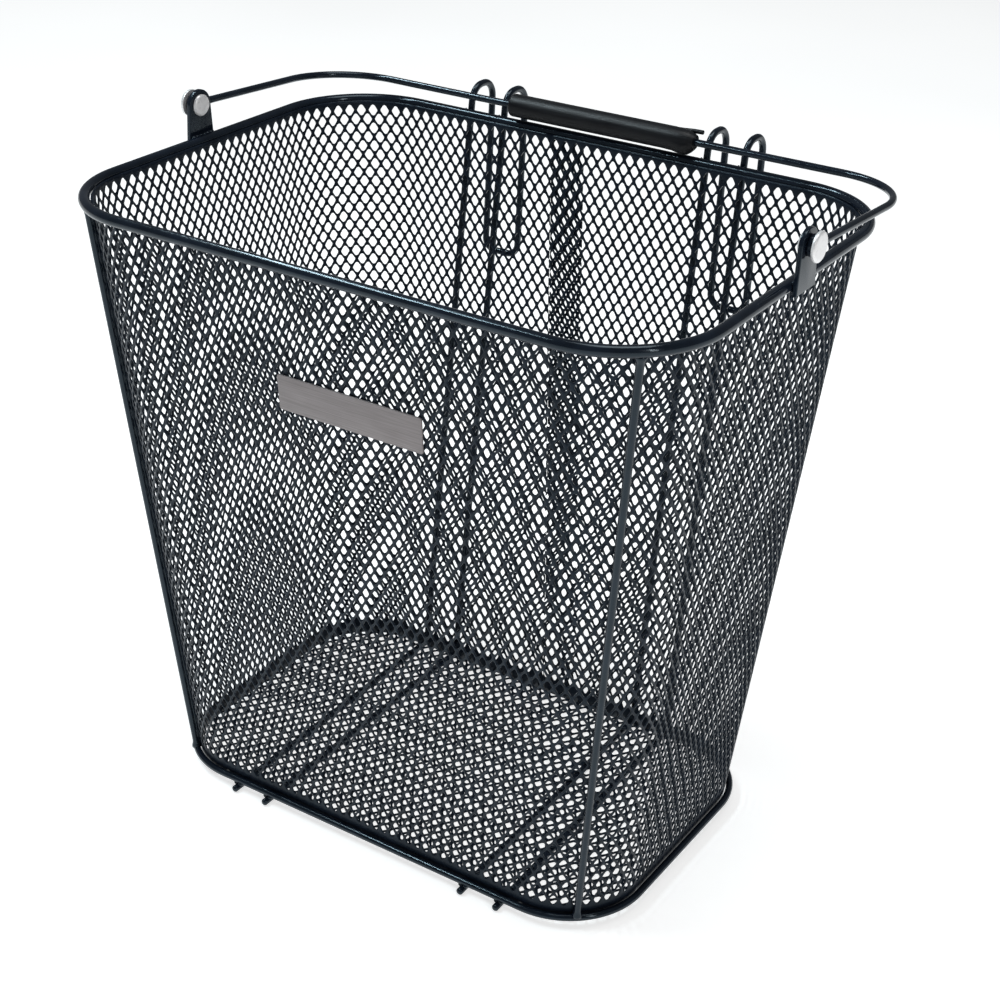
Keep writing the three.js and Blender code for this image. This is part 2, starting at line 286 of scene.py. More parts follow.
def streak_node(nodes, links, scale, detail):
    """Noise drawn out along X: scale is how fine it is along each axis."""
    where = nodes.new("ShaderNodeTexCoord")
    stretch = nodes.new("ShaderNodeMapping")
    stretch.inputs["Scale"].default_value = scale
    links.new(where.outputs["Object"], stretch.inputs["Vector"])
    streak = nodes.new("ShaderNodeTexNoise")
    streak.inputs["Scale"].default_value = 1.0
    streak.inputs["Detail"].default_value = detail
    links.new(stretch.outputs["Vector"], streak.inputs["Vector"])
    return streak


def ramp_node(nodes, links, source, stops):
    ramp = nodes.new("ShaderNodeValToRGB")
    elements = ramp.color_ramp.elements
    while len(elements) < len(stops):
        elements.new(0.5)
    for element, (place, colour) in zip(elements, stops):
        element.position = place
        element.color = (*colour, 1.0)
    links.new(source, ramp.inputs["Fac"])
    return ramp


def bump_node(nodes, links, height, strength, distance, under=None):
    bump = nodes.new("ShaderNodeBump")
    bump.inputs["Strength"].default_value = strength
    bump.inputs["Distance"].default_value = distance
    links.new(height, bump.inputs["Height"])
    if under is not None:
        links.new(under.outputs["Normal"], bump.inputs["Normal"])
    return bump


def powder_coat(name, roughness, specular):
    """Glossy dark navy powder coat: slow colour drift, orange peel, and a fine speckle."""
    made, nodes, links, shader = material(name)
    drift = noise_node(nodes, links, 60.0, 4.0)
    dark, light = (0.004, 0.0065, 0.012), (0.009, 0.014, 0.024)
    colour = ramp_node(nodes, links, drift.outputs["Fac"], [(0.3, dark), (0.7, light)])
    links.new(colour.outputs["Color"], shader.inputs["Base Color"])
    wear = noise_node(nodes, links, 400.0, 3.0)
    smooth, dull = (roughness - 0.03,) * 3, (roughness + 0.06,) * 3
    gloss = ramp_node(nodes, links, wear.outputs["Fac"], [(0.3, smooth), (0.75, dull)])
    links.new(gloss.outputs["Color"], shader.inputs["Roughness"])
    peel = noise_node(nodes, links, 900.0, 2.0)
    grain = noise_node(nodes, links, 4000.0, 2.0)
    first = bump_node(nodes, links, peel.outputs["Fac"], 0.1, 0.0002)
    second = bump_node(nodes, links, grain.outputs["Fac"], 0.06, 0.0001, first)
    links.new(second.outputs["Normal"], shader.inputs["Normal"])
    shader.inputs["Metallic"].default_value = 0.0
    shader.inputs["Specular IOR Level"].default_value = specular
    shader.inputs["Specular Tint"].default_value = (0.72, 0.9, 1.0, 1.0)
    return made


def grip_plastic():
    """Black moulded plastic with a faint streak along the grip and a soft sheen."""
    made, nodes, links, shader = material("grip_plastic")
    streak = streak_node(nodes, links, (60.0, 900.0, 900.0), 4.0)
    dark, light = (0.004, 0.0045, 0.006), (0.010, 0.011, 0.013)
    colour = ramp_node(nodes, links, streak.outputs["Fac"], [(0.3, dark), (0.7, light)])
    links.new(colour.outputs["Color"], shader.inputs["Base Color"])
    gloss = ramp_node(nodes, links, streak.outputs["Fac"], [(0.3, (0.3,) * 3), (0.7, (0.44,) * 3)])
    links.new(gloss.outputs["Color"], shader.inputs["Roughness"])
    grain = noise_node(nodes, links, 2500.0, 2.0)
    bump = bump_node(nodes, links, grain.outputs["Fac"], 0.2, 0.0002)
    links.new(bump.outputs["Normal"], shader.inputs["Normal"])
    shader.inputs["Specular IOR Level"].default_value = 0.25
    return made


def zinc():
    """Bright zinc plate with a mottled passivation and fine scratches."""
    made, nodes, links, shader = material("zinc")
    mottle = noise_node(nodes, links, 350.0, 5.0, 0.65)
    stops = [(0.25, (0.72, 0.72, 0.73)), (0.45, (0.92, 0.92, 0.92)), (0.8, (0.97, 0.97, 0.97))]
    colour = ramp_node(nodes, links, mottle.outputs["Fac"], stops)
    links.new(colour.outputs["Color"], shader.inputs["Base Color"])
    gloss = ramp_node(nodes, links, mottle.outputs["Fac"], [(0.3, (0.42,) * 3), (0.7, (0.26,) * 3)])
    links.new(gloss.outputs["Color"], shader.inputs["Roughness"])
    grain = noise_node(nodes, links, 1800.0, 3.0)
    bump = bump_node(nodes, links, grain.outputs["Fac"], 0.25, 0.0002)
    links.new(bump.outputs["Normal"], shader.inputs["Normal"])
    shader.inputs["Metallic"].default_value = 0.35
    return made


def plate_metal():
    """Grey-brown enamel on a stamped plate, with a brushed grain along its length."""
    made, nodes, links, shader = material("plate_metal")
    brush = streak_node(nodes, links, (40.0, 2500.0, 2500.0), 5.0)
    dark, light = (0.19, 0.17, 0.17), (0.28, 0.253, 0.253)
    colour = ramp_node(nodes, links, brush.outputs["Fac"], [(0.3, dark), (0.7, light)])
    links.new(colour.outputs["Color"], shader.inputs["Base Color"])
    cloud = noise_node(nodes, links, 120.0, 3.0)
    gloss = ramp_node(nodes, links, cloud.outputs["Fac"], [(0.3, (0.38,) * 3), (0.7, (0.52,) * 3)])
    links.new(gloss.outputs["Color"], shader.inputs["Roughness"])
    bump = bump_node(nodes, links, brush.outputs["Fac"], 0.15, 0.0001)
    links.new(bump.outputs["Normal"], shader.inputs["Normal"])
    shader.inputs["Metallic"].default_value = 0.2
    return made


COAT = powder_coat("coat", 0.13, 0.4)
MESH_COAT = powder_coat("mesh_coat", 0.3, 0.2)
GRIP_PLASTIC = grip_plastic()
ZINC = zinc()
PLATE_METAL = plate_metal()


# ---------------------------------------------------------------- the tapering wall
LEFT_ANCHOR = 15.8  # where the sheet's lattice starts on the left wall, along Y
CELL_ACROSS = 6.99
CELL_TALL = 10.46
FIRST_ROW = 0.3  # the top row's centres are this far below the rim's axis
STRAND = 1.15
ROUNDING = 1.15
CELL_CORNERS = 12
TOWARDS_NEXT = 0.28  # a cell's extra corners lie this share of the way along its edges
KEY_SCALE = 25  # cell corners nearer than 1/25 of half a cell are the same
QUARTER_STEPS = 64


def plan_table():
    """Distance round the sheet's top against x, y and the outward direction, from the left wall."""
    half_x, half_y, r = SHEET_TOP["width"] / 2, SHEET_TOP["depth"] / 2, SHEET_TOP["corner"]
    rows = [(-half_x, LEFT_ANCHOR, pi)]
    for quarter, (sx, sy) in ((2, (-1, -1)), (3, (1, -1)), (4, (1, 1)), (5, (-1, 1))):
        for i in range(QUARTER_STEPS + 1):
            angle = (quarter + i / QUARTER_STEPS) * pi / 2
            x = sx * (half_x - r) + r * cos(angle)
            y = sy * (half_y - r) + r * sin(angle)
            rows.append((x, y, angle))
    rows.append((-half_x, LEFT_ANCHOR, 3 * pi))
    table = np.array(rows)
    steps = np.hypot(np.diff(table[:, 0]), np.diff(table[:, 1]))
    return np.concatenate(([0.0], np.cumsum(steps))), table


AROUND, PLAN = plan_table()
PERIMETER = AROUND[-1]


def taper_axis(value, top_size, bottom_size, share):
    flat_top = top_size / 2 - SHEET_TOP["corner"]
    flat = (bottom_size / 2 - SHEET_BOTTOM["corner"]) * (1 - share) + flat_top * share
    corner = SHEET_BOTTOM["corner"] * (1 - share) + SHEET_TOP["corner"] * share
    size = np.abs(value)
    beyond = flat + (size - flat_top) * corner / SHEET_TOP["corner"]
    return np.where(size <= flat_top, value * flat / flat_top, np.sign(value) * beyond)


def on_wall(around, z, out):
    """Points of the wall: distance round the top rim, height, and distance outwards."""
    around = np.mod(around, PERIMETER)
    x = np.interp(around, AROUND, PLAN[:, 0])
    y = np.interp(around, AROUND, PLAN[:, 1])
    angle = np.interp(around, AROUND, PLAN[:, 2])
    share = (z - BOTTOM_Z) / RISE
    px = taper_axis(x + np.cos(angle) * out, SHEET_TOP["width"], SHEET_BOTTOM["width"], share)
    py = taper_axis(y + np.sin(angle) * out, SHEET_TOP["depth"], SHEET_BOTTOM["depth"], share)
    return np.stack([px, py + BOTTOM["y"] * (1 - share) + PLAN_Y, z], -1)


# ---------------------------------------------------------------- expanded metal
def hole_outline():
    """Twelve points of a rounded diamond hole and of the diamond cell round it, anticlockwise."""
    half_x, half_y = CELL_ACROSS / 2, CELL_TALL / 2
    edge = hypot(half_x, half_y)
    shrink = 1 - STRAND / 2 * edge / (half_x * half_y)
    a, b = half_x * shrink, half_y * shrink
    lean = atan2(a, b)
    side_x = a - ROUNDING / cos(lean)
    tip_y = b - ROUNDING / sin(lean)
    hole, cell = [], []
    for quarter, centre in enumerate(((side_x, 0), (0, tip_y), (-side_x, 0), (0, -tip_y))):
        spread = lean if quarter % 2 == 0 else pi / 2 - lean
        for turn in (-spread, 0, spread):
            angle = quarter * pi / 2 + turn
            hole.append((centre[0] + ROUNDING * cos(angle), centre[1] + ROUNDING * sin(angle)))
    corners = np.array([(1, 0), (0, 1), (-1, 0), (0, -1)])
    for i in range(4):
        here, after, before = corners[i], corners[(i + 1) % 4], corners[i - 1]
        cell.append(here * (1 - TOWARDS_NEXT) + before * TOWARDS_NEXT)
        cell.append(here)
        cell.append(here * (1 - TOWARDS_NEXT) + after * TOWARDS_NEXT)
    return np.array(hole), np.array(cell)


HOLE, CELL = hole_outline()
HOLE_HALF = HOLE[:, 1].max()


def cell_sheet(centres, holes, place):
    """A sheet of cells. centres are lattice indices, holes are each cell's hole outline in
    millimetres or None where the cell is solid, and place maps lattice millimetres and height
    above the middle of the sheet to points."""
    half = np.array([CELL_ACROSS / 2, CELL_TALL / 2])
    outer = centres[:, None, :] + CELL[None]
    keys = np.round(outer * KEY_SCALE).astype(int).reshape(-1, 2)
    unique, index = np.unique(keys, axis=0, return_inverse=True)
    index = index.reshape(len(centres), CELL_CORNERS)
    flat = unique / KEY_SCALE * half
    crown = THICK / 2
    shoulder = THICK * 0.3
    open_cells = [i for i, hole in enumerate(holes) if hole is not None]
    loops = np.array([centres[i] * half + holes[i] for i in open_cells]).reshape(-1, 2)
    n, m = len(flat), len(loops)
    vertices = np.concatenate([
        place(flat, np.full(n, crown)),
        place(flat, np.full(n, -crown)),
        place(loops, np.full(m, shoulder)),
        place(loops, np.full(m, -shoulder)),
    ])
    faces = []
    rim_edges = {}
    for cell in index.tolist():
        for j in range(CELL_CORNERS):
            a, b = cell[j], cell[(j + 1) % CELL_CORNERS]
            if rim_edges.pop((b, a), None) is None:
                rim_edges[(a, b)] = True
    where = {cell: order for order, cell in enumerate(open_cells)}
    for i, cell in enumerate(index.tolist()):
        if i not in where:
            faces.append(tuple(cell))
            faces.append(tuple(n + v for v in reversed(cell)))
            continue
        start = 2 * n + where[i] * CELL_CORNERS
        for j in range(CELL_CORNERS):
            k = (j + 1) % CELL_CORNERS
            a, b = cell[j], cell[k]
            p, q = start + j, start + k
            faces.append((a, b, q, p))
            faces.append((p, q, q + m, p + m))
            faces.append((p + m, q + m, n + b, n + a))
    for a, b in rim_edges:
        faces.append((b, a, n + a, n + b))
    return vertices, faces


def cut(piece, point, normal):
    """Keeps the side of a plane that its normal points away from, and closes the cut strands."""
    mesh = bmesh.new()
    mesh.from_mesh(piece.data)
    geometry = mesh.verts[:] + mesh.edges[:] + mesh.faces[:]
    plane = {"plane_co": Vector(point) * MM, "plane_no": normal}
    result = bmesh.ops.bisect_plane(mesh, geom=geometry, clear_outer=True, **plane)
    edges = [e for e in result["geom_cut"] if isinstance(e, bmesh.types.BMEdge) and e.is_boundary]
    if edges:
        bmesh.ops.holes_fill(mesh, edges=edges, sides=0)
    mesh.to_mesh(piece.data)
    mesh.free()


def lean(around):
    """How far the sheet's columns lean back round the basket for each millimetre down."""
    forward = np.clip(around, 0, None) / 900
    backward = np.clip(-around, 0, None) / 200
    return 0.016 + 0.041 * forward + 0.045 * backward


def place_on_wall(out):
    """Lattice millimetres, whose upper edge is the first row, become points of the wall."""
    def place(flat, height):
        z = TOP_Z - FIRST_ROW + flat[:, 1]
        around = flat[:, 0] - lean(flat[:, 0]) * (TOP_Z - z)
        return on_wall(around, z, height + out)
    return place


FLOOR_LOW = 2 * WIRE_RADIUS + GAP
RIM_BAND = 1.8  # no hole comes nearer to the rim's axis
BAND_TOP = 12.2  # nor lower than this


def wall_hole(z):
    """The hole of a cell centred at height z: its top is squeezed under the rim's band."""
    if z - HOLE_HALF < BAND_TOP:
        return None
    room = TOP_Z - RIM_BAND - z
    if room >= HOLE_HALF:
        return HOLE
    if room < 0:
        return None
    squeezed = HOLE.copy()
    share = (room + HOLE_HALF) / (2 * HOLE_HALF)
    squeezed[:, 1] = -HOLE_HALF + (HOLE[:, 1] + HOLE_HALF) * share
    squeezed[:, 0] *= min(1.0, 0.45 + 0.75 * share)
    return squeezed


ROWS = range(-67, 3)


def wall_cells(low, high):
    """Lattice indices of the cells whose centre lies between two distances round the rim."""
    centres = []
    for row in ROWS:
        z = TOP_Z - FIRST_ROW + row * CELL_TALL / 2
        first = int((low - 30) // (CELL_ACROSS / 2))
        last = int((high + 60) // (CELL_ACROSS / 2))
        for column in range(first, last):
            if (row + column) % 2:
                continue
            flat = column * CELL_ACROSS / 2
            around = flat - float(lean(flat)) * (TOP_Z - z)
            if low <= around < high:
                centres.append((column, row))
    return np.array(centres)


def wall_piece(name, low, high, out=0.0, nodes=()):
    centres = wall_cells(low, high)
    heights = TOP_Z - FIRST_ROW + centres[:, 1] * CELL_TALL / 2
    holes = [wall_hole(z) for z in heights]
    vertices, faces = cell_sheet(centres, holes, place_on_wall(out))
    piece = new_object(name, vertices, faces, MESH_COAT, nodes=nodes, sharp=70)
    cut(piece, (0, 0, TOP_Z), (0, 0, 1))
    cut(piece, (0, 0, FLOOR_LOW), (0, 0, -1))
    return piece


def wall_marks():
    """Distances round the sheet's top where the walls and corners begin and end."""
    straight_x = SHEET_TOP["width"] - 2 * SHEET_TOP["corner"]
    straight_y = SHEET_TOP["depth"] - 2 * SHEET_TOP["corner"]
    quarter = SHEET_TOP["corner"] * pi / 2
    lengths = [straight_y / 2 + LEFT_ANCHOR, quarter, straight_x, quarter]
    lengths += [straight_y, quarter, straight_x, quarter]
    return np.concatenate(([0.0], np.cumsum(lengths)))


LAP_WIDTH = 21.0
LAP_TOP = -21.2
LAP_BOTTOM = 12.5


def lap_edge(side):
    """Two points of a slanted edge of the lap on the back wall, and the plane through them."""
    high_y = SHEET_TOP["depth"] / 2 + PLAN_Y
    low_y = SHEET_BOTTOM["depth"] / 2 + BOTTOM["y"] + PLAN_Y
    top = Vector((LAP_TOP + side * LAP_WIDTH / 2, high_y, TOP_Z))
    low = Vector((LAP_BOTTOM + side * LAP_WIDTH / 2, low_y, BOTTOM_Z))
    normal = (top - low).cross(Vector((0, 1, 0))).normalized()
    return top, normal if normal.x > 0 else -normal


def walls():
    marks = wall_marks()
    names = ["wall_corner_front_left", "wall_front", "wall_corner_front_right"]
    names += ["wall_right", "wall_corner_back_right"]
    for i, name in enumerate(names):
        wall_piece(name + "_mesh", marks[i + 1], marks[i + 2], nodes=[name])
    left_end = marks[8] - PERIMETER
    wall_piece("wall_left_mesh", left_end, marks[1], nodes=["wall_left"])
    back_left = ["wall_corner_back_left"]
    wall_piece("wall_corner_back_left_mesh", marks[7] - PERIMETER, left_end, nodes=back_left)
    edge, across = lap_edge(-1)
    right_part = wall_piece("wall_back_mesh", marks[6], marks[7], nodes=["wall_back"])
    cut(right_part, edge, -across)
    back = (marks[6] - PERIMETER, marks[7] - PERIMETER)
    left_part = wall_piece("wall_back_end_mesh", *back)
    cut(left_part, edge, across)
    lap = wall_piece("wall_lap_mesh", *back, THICK + GAP, ["wall_lap"])
    cut(lap, (0, 0, TOP_Z - RIM_RADIUS - GAP), (0, 0, 1))
    cut(lap, (0, 0, BOTTOM_Z + WIRE_RADIUS + GAP), (0, 0, -1))
    cut(lap, edge, -across)
    edge, across = lap_edge(1)
    cut(lap, edge, across)


walls()


def floor_sheet():
    """Expanded metal inside the bottom ring, its long diamonds running from front to back."""
    half_x, half_y = SHEET_BOTTOM["width"] / 2, SHEET_BOTTOM["depth"] / 2
    z = FLOOR_LOW + THICK / 2
    centres = []
    for column in range(-50, 51):
        for row in range(-24, 25):
            x, y = column * CELL_ACROSS / 2, row * CELL_TALL / 2
            if (row + column) % 2 == 0 and abs(x) < half_x + 4 and abs(y) < half_y + 6:
                centres.append((column, row))
    centres = np.array(centres)

    def place(flat, height):
        return np.stack([flat[:, 0], flat[:, 1] + BOTTOM["y"] + PLAN_Y, z + height], -1)

    vertices, faces = cell_sheet(centres, [HOLE] * len(centres), place)
    nodes = ["floor_mesh"]
    piece = new_object("floor_mesh_strands", vertices, faces, MESH_COAT, nodes=nodes, sharp=70)
    outline = ring_path(inset(SHEET_BOTTOM, THICK / 2 + GAP), z, 6)
    for here, after in zip(outline, np.roll(outline, -1, 0)):
        along = Vector(after - here)
        if along.length > 0.01:
            cut(piece, here, (along.y, -along.x, 0))


floor_sheet()


# ---------------------------------------------------------------- rings, rods and hook wires
def rings():
    vertices, faces = tube(ring_path(TOP, TOP_Z), RIM_RADIUS, 28, closed=True)
    new_object("top_rim_rod", vertices, faces, COAT, nodes=["top_rim"])
    vertices, faces = tube(ring_path(BOTTOM, BOTTOM_Z), WIRE_RADIUS, 20, closed=True)
    new_object("bottom_rim_rod", vertices, faces, COAT, nodes=["bottom_rim"])


def corner_point(plan, side, degrees, out, z):
    reach = plan["corner"] + out
    x = plan["width"] / 2 - plan["corner"] + reach * cos(radians(degrees))
    y = plan["depth"] / 2 - plan["corner"] + reach * sin(radians(degrees))
    return np.array((side * x, plan["y"] + PLAN_Y - y, z))


ROD_BESIDE = THICK / 2 + GAP + WIRE_RADIUS
ROD_SEAM = 1.3  # the coat that fills the crack between a rod and the sheet
SEAM_OUT = THICK / 2 + 0.5
ROD_ANGLE = {"top": 47, "bottom": 51}
FLARES = [(0.0, 3.0), (1.2, 2.8), (2.2, 2.35), (3.4, 2.08), (4.6, 2.0)]  # from the end, radius


def corner_rods():
    """Each rod stands on the ring and ends under the rim, with a weld that flares onto both."""
    for name, side in (("left", -1), ("right", 1)):
        low = corner_point(SHEET_BOTTOM, side, ROD_ANGLE["bottom"], ROD_BESIDE, BOTTOM_Z + 1.2)
        high = corner_point(SHEET_TOP, side, ROD_ANGLE["top"], ROD_BESIDE, TOP_Z - 1.6)
        length = np.linalg.norm(high - low)
        middle = list(np.linspace(0.03, 0.97, 24))
        places = [d / length for d, _ in FLARES] + middle
        sizes = [r for _, r in FLARES] + [WIRE_RADIUS] * len(middle)
        places += [1 - d * 1.5 / length for d, _ in reversed(FLARES)]
        sizes += [r + 0.4 * (r - WIRE_RADIUS) for _, r in reversed(FLARES)]
        path = np.array([low + (high - low) * t for t in places])
        rod = tube(path, WIRE_RADIUS, 20, radii=sizes)
        foot = corner_point(SHEET_BOTTOM, side, ROD_ANGLE["bottom"], SEAM_OUT, BOTTOM_Z + 2.4)
        head = corner_point(SHEET_TOP, side, ROD_ANGLE["top"], SEAM_OUT, TOP_Z - 3.4)
        vertices, faces = joined(rod, tube([foot, (foot + head) / 2, head], ROD_SEAM, 12))
        new_object(f"corner_rod_{name}_wire", vertices, faces, COAT, nodes=[f"corner_rod_{name}"])


HOOK = {"reach": 20.8, "bend": 9.5, "rise": 14.3, "lean": 5.5}
HOOK.update({"length": 103.8, "turn": 7.0, "toe": 3.0})
HOOK_WIRES = {
    "left": {"legs": (-92.5, -69.5), "toes": (-91.0, -69.0)},
    "right": {"legs": (63.0, 85.5), "toes": (67.0, 90.0)},
}


def hook_path(legs, toes):
    """The whole centre line of one hook wire, from toe to toe."""
    front_y = BOTTOM["y"] - BOTTOM["depth"] / 2 - WIRE_RADIUS - HOOK["toe"]
    rim_y = TOP["depth"] / 2 + RIM_RADIUS + GAP + WIRE_RADIUS
    ring_y = BOTTOM["y"] + BOTTOM["depth"] / 2 + 2 * WIRE_RADIUS + GAP
    slope = (rim_y - ring_y) / RISE
    top_z = TOP_Z + HOOK["rise"]
    heel_y = ring_y - slope * (BOTTOM_Z - WIRE_RADIUS)
    top_y = rim_y + slope * HOOK["rise"]
    outer_y = top_y + HOOK["reach"]
    turn_z = top_z - HOOK["length"]

    def one_way(leg, toe):
        points = [(toe, front_y, WIRE_RADIUS), (leg, heel_y, WIRE_RADIUS), (leg, top_y, top_z)]
        points += [(leg, outer_y, top_z), (leg, outer_y - HOOK["lean"], turn_z)]
        return [np.array(p) + (0, PLAN_Y, 0) for p in points]

    radii = [2 * WIRE_RADIUS + GAP, HOOK["bend"], HOOK["bend"], HOOK["turn"]]
    corners = one_way(legs[0], toes[0]) + one_way(legs[1], toes[1])[::-1]
    return round_path(corners, radii + radii[::-1])


def hook_wires():
    for name, places in HOOK_WIRES.items():
        path = hook_path(places["legs"], places["toes"])
        vertices, faces = tube(path, WIRE_RADIUS, 20)
        new_object(f"hook_wire_{name}_wire", vertices, faces, COAT, nodes=[f"hook_wire_{name}"])


# ---------------------------------------------------------------- welds
def bead(centre, half_sizes, seed):
    """A lump of weld: a rounded blob with ripples across its length, along the first half size."""
    vertices = []
    steps, sides = 12, 16
    for i in range(steps + 1):
        turn = pi * (0.03 + 0.94 * i / steps)
        along, around = cos(turn), sin(turn)
        for k in range(sides):
            angle = 2 * pi * k / sides
            spot = Vector((along, around * cos(angle), around * sin(angle)))
            lumps = noise.noise(spot * 2.2 + Vector((seed, 0, 0)))
            ripple = 1 + 0.09 * lumps + 0.05 * cos(9 * along)
            vertices.append([c + h * v * ripple for c, h, v in zip(centre, half_sizes, spot)])
    return vertices, skin(steps + 1, sides, flip=True)


def hook_welds():
    """Where each hook leg crosses the rim, and where each runner crosses the ring."""
    rim_y = TOP["depth"] / 2 + RIM_RADIUS + PLAN_Y
    back_y = BOTTOM["y"] + BOTTOM["depth"] / 2 + PLAN_Y
    front_y = BOTTOM["y"] - BOTTOM["depth"] / 2 + PLAN_Y
    for name, places in HOOK_WIRES.items():
        parts = []
        for i, (leg, toe) in enumerate(zip(places["legs"], places["toes"])):
            for side in (-1, 1):
                at_rim = (leg + side * 1.7, rim_y - 0.4, TOP_Z)
                at_heel = (leg + side * 1.7, back_y + 2.0, BOTTOM_Z)
                at_toe = (toe + side * 1.6, front_y, BOTTOM_Z - 2.0)
                parts.append(bead(at_rim, (1.5, 1.3, 2.6), 3 * i + side))
                parts.append(bead(at_heel, (1.4, 1.2, 2.0), 5 * i + side))
                parts.append(bead(at_toe, (1.4, 2.0, 1.2), 7 * i + side))
        vertices, faces = joined(*parts)
        new_object(f"hook_weld_{name}", vertices, faces, COAT)


# ---------------------------------------------------------------- lugs and rivets
LUG = {"thick": 2.5, "top_radius": 8.5, "base_half": 10.0, "drop": 3.7}
LUG_X = TOP["width"] / 2 + RIM_RADIUS + GAP
EYE = {"radius": 5.5, "thick": 3.0}
EYE_X = LUG_X + LUG["thick"] + GAP
HEAD_X = EYE_X + EYE["thick"] + GAP


def slab(outline, thick, edge):
    """A flat outline in its own plane, thick along the third axis, with rounded edges."""
    outline = np.asarray(outline, float)
    ahead = np.roll(outline, -1, 0) - outline
    behind = outline - np.roll(outline, 1, 0)
    ahead /= np.linalg.norm(ahead, axis=1)[:, None]
    behind /= np.linalg.norm(behind, axis=1)[:, None]
    tangent = ahead + behind
    tangent /= np.linalg.norm(tangent, axis=1)[:, None]
    inward = np.stack([-tangent[:, 1], tangent[:, 0]], 1)
    levels = []
    for i in range(5):
        angle = pi / 2 * i / 4
        levels.append((edge * (1 - sin(angle)), edge * (1 - cos(angle))))
    levels = levels + [(back, thick - up) for back, up in reversed(levels)]
    vertices = []
    for back, up in levels:
        vertices += [(*(point + side * back), up) for point, side in zip(outline, inward)]
    return vertices, skin(len(levels), len(outline))


def lugs():
    """A strip with a round top, its foot welded to the rim by two rippled runs."""
    low = TOP_Z - LUG["drop"]
    outline = [(-LUG["base_half"], low)]
    outline += [(y, low) for y in np.linspace(-LUG["base_half"] + 1, LUG["base_half"] - 1, 8)]
    outline += [(LUG["base_half"], low)]
    for i in range(33):
        angle = pi * i / 32
        outline.append((LUG["top_radius"] * cos(angle), PIVOT.z + LUG["top_radius"] * sin(angle)))
    vertices, faces = slab(outline, LUG["thick"], 0.5)
    for name, side in (("left", -1), ("right", 1)):
        start = LUG_X if side > 0 else -LUG_X - LUG["thick"]
        placed = [(start + up, y + PIVOT.y, z) for y, z, up in vertices]
        new_object(f"lug_{name}_strip", placed, faces, COAT, nodes=[f"lug_{name}"], sharp=50)
        parts = []
        for i, y in enumerate(np.linspace(-7, 7, 6)):
            spot = (side * (LUG_X - 0.6), PIVOT.y + y, TOP_Z + 2.0)
            parts.append(bead(spot, (1.3, 2.1, 1.2), 11 * i + side))
            spot = (side * (LUG_X - 0.5), PIVOT.y + y, TOP_Z - 2.1)
            parts.append(bead(spot, (1.1, 1.9, 1.1), 13 * i + side))
        bead_vertices, bead_faces = joined(*parts)
        new_object(f"lug_weld_{name}", bead_vertices, bead_faces, COAT)


def rivets():
    """Solid rivets: a slightly domed inner head, a shank, and a broad flat outer head."""
    inner = LUG_X - GAP
    profile = [(0.4, inner - 2.0), (2.4, inner - 1.97), (4.4, inner - 1.8), (5.4, inner - 1.35)]
    profile += [(5.85, inner - 0.85), (6.0, inner - 0.4), (6.0, inner), (2.0, inner), (2.0, HEAD_X)]
    profile += [(7.4, HEAD_X), (7.5, HEAD_X + 0.2), (7.5, HEAD_X + 1.1), (7.35, HEAD_X + 1.55)]
    profile += [(6.9, HEAD_X + 1.85), (5.6, HEAD_X + 1.96), (2.4, HEAD_X + 2.0), (0.4, HEAD_X + 2.0)]
    for name, side in (("left", -1), ("right", 1)):
        vertices, faces = lathe(profile, (0, PIVOT.y, PIVOT.z), (side, 0, 0))
        nodes = [f"rivet_{name}"]
        new_object(f"rivet_{name}_body", vertices, faces, ZINC, nodes=nodes, sharp=40)


# ---------------------------------------------------------------- bail and grip
BAIL = {"reach": 125.7, "corner": 42.0, "rest": radians(-3.3)}
BAIL_X = EYE_X + EYE["thick"] / 2
NECK_END = 15.0


def on_bail(vertices):
    """From the bail's own plane, with its pivot at the origin, to where it lies at rest."""
    turned = []
    for x, y, z in vertices:
        turned_y = y * cos(BAIL["rest"]) - z * sin(BAIL["rest"])
        turned_z = y * sin(BAIL["rest"]) + z * cos(BAIL["rest"])
        turned.append((x, PIVOT.y + turned_y, PIVOT.z + turned_z))
    return turned


def neck(side):
    """The wire's end beaten flat: round sections that widen and thin towards the eye."""
    stations = [(2.5, 3.6, 1.35), (4.0, 3.3, 1.38), (5.5, 2.8, 1.42), (7.5, 2.5, 1.5)]
    stations += [(9.5, 2.4, 1.6), (11.5, 2.2, 1.8), (13.5, 2.05, 1.95), (15.5, 2.0, 2.0)]
    vertices = []
    sides = 20
    for y, half_wide, half_thick in stations:
        for k in range(sides):
            angle = 2 * pi * k / sides
            vertices.append((side * BAIL_X + half_thick * cos(angle), y, half_wide * sin(angle)))
    return vertices, skin(len(stations), sides, flip=True)


def bail_wire():
    corners = [(-BAIL_X, NECK_END, 0), (-BAIL_X, BAIL["reach"], 0)]
    corners += [(BAIL_X, BAIL["reach"], 0), (BAIL_X, NECK_END, 0)]
    path = round_path(corners, [BAIL["corner"]] * 2, 4.0)
    parts = [tube(path, WIRE_RADIUS, 20, cap=0.1)]
    disc = [(EYE["radius"] * cos(a), EYE["radius"] * sin(a)) for a in np.arange(40) * 2 * pi / 40]
    vertices, faces = slab(disc, EYE["thick"], 0.6)
    for side in (-1, 1):
        face = EYE_X if side > 0 else -EYE_X - EYE["thick"]
        parts.append(([(face + up, y, z) for y, z, up in vertices], faces))
        parts.append(neck(side))
    vertices, faces = joined(*parts)
    new_object("bail_wire_rod", on_bail(vertices), faces, COAT, "bail", ["bail_wire"], sharp=50)


GRIP = {"left": -59.0, "right": 59.0, "radius": 6.5, "bore": 2.4, "half_slit": 0.6}
SLIT_LEAN = radians(24)  # the slit faces up and a little to the rear


